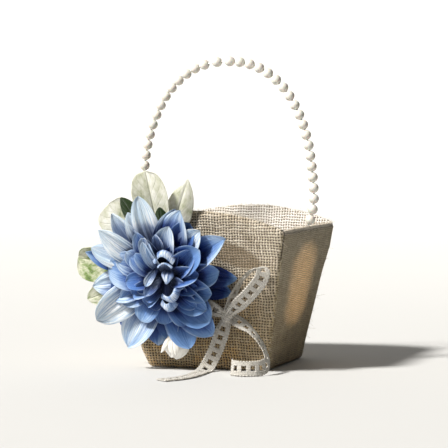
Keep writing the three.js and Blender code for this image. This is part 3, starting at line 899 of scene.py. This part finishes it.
def cell_of(p, centre):
    """The square cell of the height map that each point is over."""
    place = (p[..., :2] + np.array(centre) - FLOWER) / CELL + CELLS / 2
    return tuple(np.moveaxis(np.clip(place.astype(int), 0, CELLS - 1), -1, 0))


def height_map(heads):
    """How far out from the face the flower's petals reach, in square cells, spread a little sideways."""
    top = np.zeros((CELLS, CELLS))
    for _, blades, centre, *_ in heads:
        for p, *_ in blades:
            np.maximum.at(top, cell_of(p, centre), p[..., 2])
    for spread in [np.max] * 2 + [np.mean] * 3:
        pad = np.pad(top, 1, mode="edge")
        top = spread([pad[a:a + CELLS, b:b + CELLS] for a in range(3) for b in range(3)], axis=0)
    return top


def shade_of(p, centre, top):
    """How far down among the petals around it each point lies, for painted shade: 0 on the outside, 1 far
    down.
    """
    return np.clip((top[cell_of(p, centre)] - p[..., 2] - 1) / 9, 0, 1)


def bunch(name, blades, centre, material, node, slot, thickness, top=None):
    """One piece from several blades. Each is (points, along, across, tone)."""
    points, faces, colours, deep, offset = [], [], [], [], 0
    for p, along, across, tone in blades:
        n, m = p.shape[:2]
        points.append(p.reshape(-1, 3))
        faces.append(grid_faces(n, m, offset))
        colours.append(np.stack([along.ravel(), across.ravel() * 0.5 + 0.5, np.full(n * m, tone)], -1))
        # the shade painted into the petals, by how far down among the others each point lies, less on pale
        # petals
        if top is not None:
            deep.append(shade_of(p, centre, top).ravel() * (1 - 0.5 * tone**2))
        offset += n * m
    u, v, w = np.vstack(points).T
    obj = make_object(name, on_face(u + centre[0], v + centre[1], w), np.vstack(faces), material)
    set_colour(obj, "blade", np.vstack(colours))
    if deep:
        set_colour(obj, "deep", np.stack([np.concatenate(deep)] * 3, -1))
    thicken(obj, thickness, levels=1)
    attach(obj, slot, node)


def petal_material(name, root, low, high, tip, pale, rim):
    """Satin cloth, dark at the root and pale at the tip. A petal's tone leads from blue to nearly white,
    partly the satin's colour and partly painted light, higher where the light falls. Far down among the
    petals it has painted shade, and it has painted glints and painted highlights along its rims.
    """
    sh = Shader(name, Sheen_Weight=0.2, Sheen_Roughness=0.35, Specular_IOR_Level=0.5, Anisotropic=0.4,
                Sheen_Tint=(0.55, 0.72, 1), Specular_Tint=(0.62, 0.78, 1))
    along, across, tone = sh.attribute("blade")
    deep = sh.attribute("deep")[0]
    wide = sh.size((across - 0.5) * 2)
    streak = sh.field(across * 18, along * 1.3, tone * 40, detail=4, roughness=0.7)
    patch = sh.field(across * 2.4, along * 2.2, tone * 60)
    place = along * 0.92 + (streak - 0.5) * 0.42 + (patch - 0.5) * 0.34 - deep * 0.34
    colour = sh.ramp(place, [(0.1, root), (0.34, low), (0.62, high), (0.98, tip)])
    # the paler satin follows the tone: partly the satin's colour and partly painted light where the light
    # falls, less far down among the petals
    paled_and_lit = sh.step(tone + (patch - 0.5) * 0.7 + (streak - 0.5) * 0.7 - deep * 0.5, 0.25, 1.05)
    paled_and_lit = paled_and_lit * sh.step(along, 0.12, 0.7) * (sh.step(streak, 0.36, 0.6) * 0.45 + 0.55)
    colour = sh.mix(paled_and_lit, colour, pale)
    # painted glints: near-white highlight streaks on the paler petals
    painted_glint = sh.step(streak + patch * 0.5, 0.72, 0.86) * sh.step(tone - deep, 0.4, 0.9)
    colour = sh.mix(painted_glint * sh.step(along, 0.2, 0.5) * 0.85, colour, (0.96, 0.98, 1))
    # a painted highlight along the rims and tips, where the light catches them, kept off the petals far down
    edge = sh.math("MAXIMUM", sh.step(wide, 0.8, 1) * sh.step(along, 0.3, 0.8), sh.step(along, 0.94, 1))
    colour = sh.mix(edge * rim * (1 - deep) * sh.step(patch, 0.38, 0.62), colour, (0.68, 0.8, 0.96))
    # painted shade: far down among the petals the satin is darkened towards navy
    colour = sh.mix(deep * 0.9, colour, (0.06, 0.11, 0.4), "MULTIPLY")
    sh.set(Base_Color=colour, Roughness=streak * 0.3 + 0.16)
    weave = sh.noise(sh.place(), 3200, 1)
    sh.bump(streak * 1.2 + patch * 0.8 + weave * 0.1, 0.0012, 0.85)
    return sh.material


BLUE = petal_material("blue_satin", (0.003, 0.013, 0.08), (0.019, 0.06, 0.255), (0.095, 0.21, 0.5),
                      (0.23, 0.4, 0.7), (0.72, 0.86, 0.93), 0.3)
MID_BLUE = petal_material("deep_blue_satin", (0.002, 0.008, 0.06), (0.012, 0.042, 0.22), (0.068, 0.165, 0.45),
                          (0.18, 0.34, 0.66), (0.52, 0.72, 0.97), 0.5)
NAVY = petal_material("navy_satin", (0.001, 0.005, 0.038), (0.006, 0.022, 0.14), (0.045, 0.11, 0.34),
                      (0.14, 0.26, 0.56), (0.42, 0.61, 0.93), 0.7)

# (angle, reach, width, tip shape, first and last lift, start height, tone, sway, twist); tone is paleness,
# partly the satin's colour and partly painted light, high on the lit left and top and low on the shaded right
OUTER = [
    (98, 60, 19, 0.65, 30, 4, 7, 1, -2, -8), (86, 42, 14, 0.8, 22, 2, 5.4, 0.85, 2, 10),
    (75, 53, 20, 0.75, 28, 10, 6.6, 0.8, 3, -12), (61, 55, 23, 0.8, 32, 12, 7.6, 0.75, -5, 12),
    (47, 52, 19, 0.6, 32, 16, 8, 0.85, 2, 8), (27, 62, 21, 0.95, 30, 8, 7.4, 0.55, -3, 18),
    (-1, 55, 17, 0.9, 10, 0, 4.8, 0, 2, -6), (-14, 52, 17, 0.8, 8, -2, 4.4, 0, 2, 6),
    (-38, 49, 26, 0.5, 28, 8, 7.4, 0.12, 3, 8), (-53, 57, 25, 0.55, 20, 5, 5.8, 0.1, -3, -6),
    (-69, 57, 23, 0.62, 18, 4, 5.2, 0.22, 2, 6), (-86, 51, 18, 0.8, 14, 2, 4.8, 0.4, 0, -4),
    (-100, 54, 22, 0.65, 15, 2, 5.2, 0.6, -2, 8), (-115, 61, 24, 0.75, 22, 4, 5.8, 0.75, 3, -6),
    (-133, 52, 21, 0.7, 16, 2, 4.9, 0.6, 0, 6), (-149, 57, 24, 0.55, 28, 12, 7.8, 0.9, -3, 20),
    (-168, 53, 20, 0.85, 22, 6, 6.2, 0.95, 2, -8), (164, 58, 14, 1, 20, 8, 6.4, 0.45, 1, 10),
    (154, 53, 17, 0.75, 30, 8, 7.8, 1, -2, -14), (141, 54, 17, 0.8, 34, 10, 8.6, 0.9, 2, 12),
    (127, 56, 18, 0.95, 24, 8, 6.2, 0.9, 2, 8), (111, 51, 16, 0.7, 28, 8, 7.4, 0.9, -1, -10),
]


def outer_blades():
    for k, (angle, reach, width, tip, a0, a1, height, tone, sway, twist) in enumerate(OUTER):
        lifts = [a0, a0 * 0.75 + a1 * 0.25, (a0 + a1) / 2, a1, a1 - 8]
        yield *blade(flat_length(reach - 4, lifts), width * 1.06, 4, height, lifts, angle, tip=tip, peak=0.6,
                     cup=0.1 + 0.14 * (k % 3), crease=1.6, twist=twist, ripple=1.3, sway=sway,
                     pleats=0.25 + 0.75 * tone**2, seed=300 + k, nu=22, nv=22), tone


# (angle, reach, width, first and last lift, start height, tone, sway); tone as in OUTER, partly painted light
MIDDLE = [
    (5, 42, 19, 50, 12, 10.5, 0, -2), (38, 38, 20, 56, 24, 11.5, 0.05, 2),
    (57, 45, 19, 46, 14, 10, 0.12, -3), (80, 40, 16, 58, 24, 11.5, 0.8, 3),
    (104, 33, 12, 62, 36, 12.5, 0.8, -1), (118, 37, 15, 56, 26, 11.5, 0.6, 3),
    (140, 31, 15, 58, 22, 11.5, 0.7, -2), (158, 37, 18, 50, 14, 10.5, 0.65, 0),
    (176, 41, 24, 48, 12, 10.8, 0.55, 3), (-167, 43, 21, 44, 8, 9.8, 0.65, -3),
    (-150, 38, 17, 48, 12, 10.5, 0.55, 0), (-118, 38, 17, 50, 12, 10.5, 0.45, 2),
    (-95, 36, 15, 44, 8, 9.4, 0.3, 0), (-66, 38, 17, 44, 8, 9.4, 0.1, 2),
    (-40, 38, 19, 50, 14, 10.5, 0.06, -2), (-16, 37, 17, 52, 16, 11, 0.02, 1),
]
INNER = [
    (12, 27, 15, 66, 22, 15, 0, 1.5), (-20, 25, 12, 66, 18, 14.6, 0.03, -1),
    (-42, 30, 13, 58, 12, 13.4, 0.06, 1), (-128, 24, 12, 62, 24, 14.4, 0.25, -1),
    (-150, 27, 12, 60, 20, 14, 0.55, 1.5), (-176, 28, 14, 60, 22, 14, 0.2, -1),
    (150, 27, 12, 60, 28, 14.5, 0.75, 2), (128, 26, 10, 68, 40, 15, 0.6, -1),
    (108, 31, 9, 66, 44, 14.5, 0.95, 1), (97, 29, 8, 66, 46, 14.5, 0.85, -1),
    (66, 27, 14, 60, 30, 14.6, 0.06, 1), (38, 31, 17, 58, 24, 13.8, 0.02, -2),
]
HEART_CENTRE = (FLOWER[0] + 6, FLOWER[1] - 1)
LINE_OF_SIGHT = (0.39, 0.27)  # how far across and up a petal moves for each millimetre that it is drawn out
# The small petals that fill the middle: (angle, length, width, start, height, lifts, cup, tone, and how far
# the petal is moved across and up)
HEART = [
    (226, 20, 9, 1, 19, (56, 40, 20, 0), 0.5, 0.1, -1, -2),
    (205, 21, 10, 2, 17, (60, 44, 24, 0), 0.5, 0.12, -3, 1),
    (318, 16, 9, 0.5, 19, (62, 44, 20, -10), 0.4, 0.15, 7, 0),
    (350, 17, 9, 1, 18, (64, 46, 24, 0), 0.4, 0.1, 7, 3),
    (-118, 22, 11, 2, 15, (40, 24, 14, 10), 0.5, 0.25, 0, -3),
]
# The curled petals over them: root across and up, angle, tone, how far the whole is drawn out, and rows of
# (along, height, half width, and how far the margins lie along and out from the middle line)
CURLED = [
    # the hood, which bends forward over the hollow
    (-18.2, 83, 90, 0.8, 10, [
        (-3, 18, 4, 1, 1), (2, 19, 6.5, 0, 2.2), (7, 20, 8.2, -2, 2), (10.8, 22, 8.6, -5.5, 1),
        (11.7, 25, 8.4, -8, -0.5), (10.4, 27.6, 7.6, -8, -2.5), (8.4, 28.6, 6.8, -7, -3.4),
        (7.6, 28, 6, -6.2, -3)]),
    # a small one under it, with its margin rolled over
    (-17.6, 78, 90, 0.95, 10, [
        (-2, 20, 3.5, 0.5, 1), (3, 21.5, 5.2, -0.5, 1.5), (6.6, 23, 5.8, -2.2, 0.8),
        (7.9, 25, 5.8, -3.6, -0.2), (7.6, 26.4, 5.4, -3.8, -1), (7, 26.8, 5, -3.6, -1.2)]),
    # the tongue in the hollow
    (-15.2, 82, -96, 0.8, 7, [
        (0, 22, 2.5, 0, 0.5), (3, 25, 4.2, 0, -0.5), (6.5, 26.8, 4.6, -0.8, -1.2),
        (9.5, 27.3, 3, -1.2, -1.2), (11.6, 27, 0.6, 0, 0)]),
    # the white spoon and the petal below it
    (-24, 81, -123, 1.15, 9, [
        (0, 22, 1.2, 0, 1), (4, 25.5, 2.6, 0, 1.4), (9, 28, 3.1, -0.5, 1.6), (12.5, 28.6, 2.4, -1, 1.2),
        (14.3, 28.4, 0.7, 0, 0)]),
    (-22.5, 74, -131, 0.6, 4, [
        (0, 20, 2, 0, 0.6), (5, 24, 4.2, 0, 1.8), (11, 26.5, 3.9, 0, 2.2), (15, 26.8, 1.9, 0, 1),
        (16.6, 26.6, 0.5, 0, 0)]),
    # a short one at the right of the hollow
    (-14, 72.5, -16, 0.6, 5, [
        (0, 22, 3, 0, 1), (4, 24.5, 4.6, 0, 1.8), (8, 25.6, 4, 0.8, 2.2), (10.9, 25, 1.2, 0.8, 0.6)]),
    # two cups, one below the other
    (-15.2, 64.6, -66, 0.72, 6, [
        (-7, 18, 4, 0, 1), (-2, 19.5, 7, -0.5, 2), (3.5, 21, 8.4, -3, 1.5), (7, 23.5, 8.4, -5.5, 0.5),
        (8, 26, 8, -6.8, -1), (6.4, 28.3, 7.2, -6.2, -2.5), (4, 29.3, 6.2, -4.6, -3.2),
        (2.4, 29.2, 5, -3.6, -3.4)]),
    (-17.4, 56, -84, 0.85, 6, [
        (-6, 16, 4, 0, 1), (0, 17.5, 6, -0.5, 2), (4, 18.5, 7, -2.5, 1.5), (6.2, 20.5, 7, -4.8, 0.5),
        (6.8, 23, 6.6, -5.8, -1), (5.4, 25.4, 5.8, -5.4, -2.4), (2.5, 26.6, 4.8, -4.2, -3),
        (0, 26.6, 3.6, -3, -3)]),
    # two pale upright ones behind the hood
    (-26, 82.5, 104.7, 1.1, 10, [
        (0, 19, 1.5, 0, 0.8), (8, 22.5, 2.5, 0, 1.4), (15, 24.5, 2.5, 0, 1.4), (20, 25.2, 1.5, 0, 0.7),
        (21.7, 25.4, 0.4, 0, 0)]),
    (-21, 84, 98, 0.85, 11, [
        (0, 17, 3, 0, 0.6), (9, 19.5, 3.9, 0, 1.2), (16, 21, 4, -0.6, 1.4), (20, 22, 2.4, -0.8, 1),
        (21.4, 22, 0.6, 0, 0)]),
]


def middle_blades():
    for k, (angle, reach, width, a0, a1, height, tone, sway) in enumerate(MIDDLE):
        r = rng(450 + k)
        lifts = [a0, a0 * 0.6 + a1 * 0.4, a1, a1 - 12, a1 - r.uniform(14, 34)]
        length = flat_length(reach - 4, lifts)
        yield *blade(length, width * 1.08, 4, height, lifts, angle, tip=r.uniform(0.42, 0.62), peak=0.62,
                     root=0.34, cup=r.uniform(0.18, 0.5), crease=0.6, ripple=0.8, twist=r.uniform(-16, 16),
                     sway=sway, pleats=0.25 * tone, seed=400 + k, nu=14, nv=18), tone


def inner_blades():
    for k, (angle, reach, width, a0, a1, height, tone, sway) in enumerate(INNER):
        r = rng(550 + k)
        lifts = [a0, a0 * 0.7 + a1 * 0.3, a1, a1 - 20, a1 - r.uniform(25, 50)]
        length = flat_length(reach - 3, lifts)
        yield *blade(length, width, 3, height, lifts, angle, tip=0.48, peak=0.6, root=0.4,
                     cup=r.uniform(0.5, 0.85), crease=0.35, ripple=0.5, twist=r.uniform(-18, 18), sway=sway,
                     seed=500 + k, nu=14, nv=18), tone


def heart_blades():
    for k, (angle, length, width, start, height, lifts, cup, tone, across, up) in enumerate(HEART):
        p, v, u = blade(length, width, start, height, lifts, angle, tip=0.42, peak=0.62, root=0.5, cup=cup,
                        crease=0.2, ripple=0.35, seed=600 + k, nu=14)
        yield p + (across, up, 0), v, u, tone
    for k, (root_u, root_v, angle, tone, lift, rows) in enumerate(CURLED):
        r = rng(650 + k)
        y, w, half, back, out = (column[:, None] for column in smooth_rows(rows, 22).T)
        u, v = np.meshgrid(np.linspace(-1, 1, 15), np.linspace(0, 1, 22))
        crease = 0.22 * np.cos(u * r.uniform(7, 11) + r.uniform(0, 6)) * np.sin(pi * v)
        x, y, w = half * u, y + back * u**2, w + out * u**2 + crease
        c, s = cos(radians(angle)), sin(radians(angle))
        across = root_u - HEART_CENTRE[0] + x * s + y * c + LINE_OF_SIGHT[0] * lift
        up = root_v - HEART_CENTRE[1] - x * c + y * s + LINE_OF_SIGHT[1] * lift
        yield np.stack([across, up, w + lift], -1), v, u, tone


def make_flower():
    """The head nods to the right, so each layer sits a little further over than the one under it."""
    u, v = FLOWER
    heads = [
        ("flower_outer_petals", [*outer_blades()], FLOWER, BLUE, "outer_petals", "blue_petal"),
        ("flower_middle_petals", [*middle_blades()], (u + 4.5, v + 0.5), BLUE, "middle_petals", "blue_petal"),
        ("flower_inner_petals", [*inner_blades()], (u + 6, v + 0.5), MID_BLUE, "inner_petals", "blue_petal"),
        ("flower_heart", [*heart_blades()], HEART_CENTRE, NAVY, "flower_centre", "flower_centre"),
    ]
    top = height_map(heads)
    for head in heads:
        bunch(*head, 0.35, top)


make_flower()


dress(["flower_calyx"], fibrous_material(
    "green_felt", (1800, 4), (160, 2), (0.03, 0.055, 0.018), (0.1, 0.16, 0.055), 0.0004, 0.8,
    Roughness=0.95, Sheen_Weight=0.4))


def leaf_material():
    sh = Shader("sage_leaf", Roughness=0.55, Sheen_Weight=0.25, Specular_IOR_Level=0.35)
    along, across, tone = sh.attribute("blade")
    wide = sh.size((across - 0.5) * 2)
    vein_place = along * 9 - wide * 2.6
    vein = sh.size(vein_place - sh.math("FLOOR", vein_place) - 0.5)
    veins = (1 - sh.step(vein, 0, 0.1)) * sh.step(wide, 0.02, 0.2)
    rib = 1 - sh.step(wide, 0.015, 0.07)
    mottle = sh.field(across * 5, along * 7, tone * 30, detail=4, roughness=0.6)
    cloth = sh.noise(sh.place(), 2400, 1)
    value = sh.math("ADD", (mottle - 0.5) * 1.6 + along * 0.3, tone * 0.65, clamp=True)
    base = sh.ramp(value, [(0, (0.018, 0.045, 0.006)), (0.22, (0.15, 0.23, 0.05)),
                           (0.5, (0.57, 0.58, 0.43)), (1, (0.91, 0.9, 0.84))])
    lines = sh.math("ADD", veins * 0.16, rib * 0.3, clamp=True) * sh.step(tone, -0.5, 0.3)
    sh.set(Base_Color=sh.mix(lines, base, (0.7, 0.73, 0.5)))
    sh.bump(mottle * 0.5 + cloth * 0.3 - veins * 0.5 - rib * 0.9, 0.0006, 0.7)
    return sh.material


def serrate(points, along, across, depth, teeth):
    """Small teeth along both margins, made by drawing the outermost points in."""
    tooth = depth * np.abs(np.modf(along * teeth)[0] - 0.5) * 2 * (np.abs(across) > 0.99)
    inward = points[:, points.shape[1] // 2][:, None] - points
    size = np.maximum(np.linalg.norm(inward, axis=-1, keepdims=True), 0.001)
    return points + inward / size * tooth[..., None]


# name, node, angle, reach, width, height, tone, lifts, and the rest of the shape as LEAF_SHAPE names it
LEAF_SHAPE = ("tip", "peak", "cup", "crease", "ripple", "sway", "fold")
# a tone below 0 makes a leaf near black green without veins: leaf_fold and leaf_shade are such dark leaves,
# put as painted shade in the dark gaps among the leaves and petals
LEAVES = [
    ("leaf_top", "top_leaf", 95.5, 76, 27.5, 2.6, 0.75, (10, 7, 4, 2), (0.36, 0.72, 0.18, 1, 1.1, -1, 0)),
    ("leaf_right", "right_leaf", 76, 72, 21, 2.2, 0.7, (5, 4, 3, 0), (0.85, 0.55, -0.12, 0.7, 0.6, 5, 0)),
    ("leaf_upper_left", "upper_left_leaf", 129, 64, 31, 3.1, 0.78, (9, 6, 3, -4),
     (0.3, 0.8, 0.2, 0.9, 0.8, 1, 0)),
    ("leaf_left", "left_leaf", 170, 67, 29, 2.6, 0.2, (8, 10, 6, -6), (0.45, 0.7, 0.45, 0.8, 1.4, -2, 0.16)),
    ("leaf_lower_left", None, 200.6, 66, 19, 2.2, 0.42, (5, 4, 3, 2), (0.6, 0.68, 0.12, 0.7, 0.8, 1, 0)),
    ("leaf_fold", None, 114, 63, 15, 4.6, -0.9, (14, 10, 6, 4), (0.7, 0.6, -0.3, 0.8, 1, -2, 0)),
    ("leaf_shade", None, 88, 49, 13, 4.4, -0.9, (12, 10, 6, 4), (0.7, 0.6, -0.3, 0.8, 1, -1, 0)),
    ("leaf_inner_left", None, 160, 55, 15, 4.6, -0.45, (12, 10, 6, 4), (0.7, 0.6, -0.2, 0.8, 1, 0, 0)),
]


def make_leaves():
    material = leaf_material()
    for k, (name, node, angle, reach, width, height, tone, lifts, shape) in enumerate(LEAVES):
        p, v, u = blade(reach - 12, width, 12, height, lifts, angle, root=0.2, seed=700 + k, nu=16, nv=36,
                        **dict(zip(LEAF_SHAPE, shape)))
        bunch(name, [(serrate(p, v, u, 0.55, 17), v, u, tone)], FLOWER, material, node, "leaf", 0.4)


make_leaves()


def cream_material():
    sh = Shader("cream_satin", Sheen_Weight=0.3, Specular_IOR_Level=0.5, Coat_Weight=0.1, Coat_Roughness=0.25)
    along, across, tone = sh.attribute("blade")
    streak = sh.field(across * 14, along * 1.5, tone * 40, detail=3)
    # darker towards the root, as painted shade where the bud tucks in under the petals
    tones = [(0.15, (0.56, 0.51, 0.43)), (0.5, (0.88, 0.85, 0.78)), (0.85, (0.95, 0.94, 0.9))]
    sh.set(Base_Color=sh.ramp(streak * 0.55 + along * 0.45, tones), Roughness=streak * 0.2 + 0.22)
    sh.bump(streak, 0.0008, 0.7)
    return sh.material


def make_bud():
    """A small folded bud of cream satin that hangs from under the flower, with its point down."""
    # angle, length, width, first and last lift, height, cup
    folds = [
        (-90, 21, 20, 40, -30, 10.5, 0.9), (-80, 20, 14, 46, -34, 11.9, 0.9),
        (-100, 20, 14, 46, -32, 11.5, 0.85), (-88, 18.5, 10, 52, -40, 13.3, 0.8),
        (-95, 19, 14, 34, -18, 9.5, 0.9),
    ]
    blades = []
    for k, (angle, length, width, a0, a1, height, cup) in enumerate(folds):
        lifts = np.linspace(a0, a1, 4)
        shape = blade(length, width, 0.5, height, lifts, angle, tip=0.62, peak=0.5, root=0.35,
                      cup=-cup * 0.55, crease=1.7, ripple=0.7, pleats=0.35, twist=(k - 2) * 6,
                      seed=800 + k, nv=16)
        blades.append((*shape, 0.1 * k))
    sepal = blade(18, 4.6, 0, 14.1, (34, 14, 0, -10), -124, tip=1.1, peak=0.45, root=0.5, cup=-0.5,
                  crease=0.2, ripple=0.2, seed=811, nu=8, nv=14)
    blades.append((*sepal, 0.8))
    bunch("cream_bud", blades, (-18.5, 30.5), cream_material(), "cream_petal", "cream_petal", 0.5)


make_bud()


# ---- floor and light


def make_stage():
    floor = Shader("pale_floor", Base_Color=(0.62, 0.62, 0.615), Roughness=0.8, Specular_IOR_Level=0.1)
    reach, back, bend, tall = 4000, 1800, 600, 2600
    turns = np.linspace(0, pi / 2, 13)[1:]
    line = [(-reach, 0), (back, 0), *((back + bend * sin(t), bend * (1 - cos(t))) for t in turns),
            (back + bend, tall)]
    points = [(x, y, z) for y, z in line for x in (-reach, reach)]
    backdrop = make_object("floor", points, grid_faces(len(line), 2), floor.material)
    # a black flag out of sight on the right keeps that side in soft shade
    flag = Shader("black_flag", Base_Color=(0.01, 0.01, 0.01), Roughness=1, Specular_IOR_Level=0)
    aside, low, high = 420, 30, 900
    corners = [(aside, y, z) for z in (low, high) for y in (-high, high)]
    board = make_object("flag", corners, [(0, 1, 3, 2)], flag.material)
    board.visible_camera = False
    board.visible_shadow = False


def make_lights():
    world = bpy.data.worlds.new("world")
    bpy.context.scene.world = world
    world.use_nodes = True
    background = world.node_tree.nodes["Background"]
    background.inputs["Color"].default_value = (1, 0.98, 0.93, 1)
    # dim as a light, and as pale as the floor behind the object
    tree = world.node_tree
    seen = tree.nodes.new("ShaderNodeLightPath")
    strength = tree.nodes.new("ShaderNodeMapRange")
    strength.inputs["To Min"].default_value = 0.22
    strength.inputs["To Max"].default_value = 0.92
    tree.links.new(seen.outputs["Is Camera Ray"], strength.inputs["Value"])
    tree.links.new(strength.outputs["Result"], background.inputs["Strength"])
    sun = bpy.data.lights.new("key", "SUN")
    sun.energy = 5.6
    sun.angle = radians(9)
    sun.color = (1, 0.975, 0.93)
    aim("key", sun, Vector((0.4545, 0.5417, -0.7071)))


make_stage()
make_lights()

bpy.context.scene.view_settings.view_transform = "Standard"
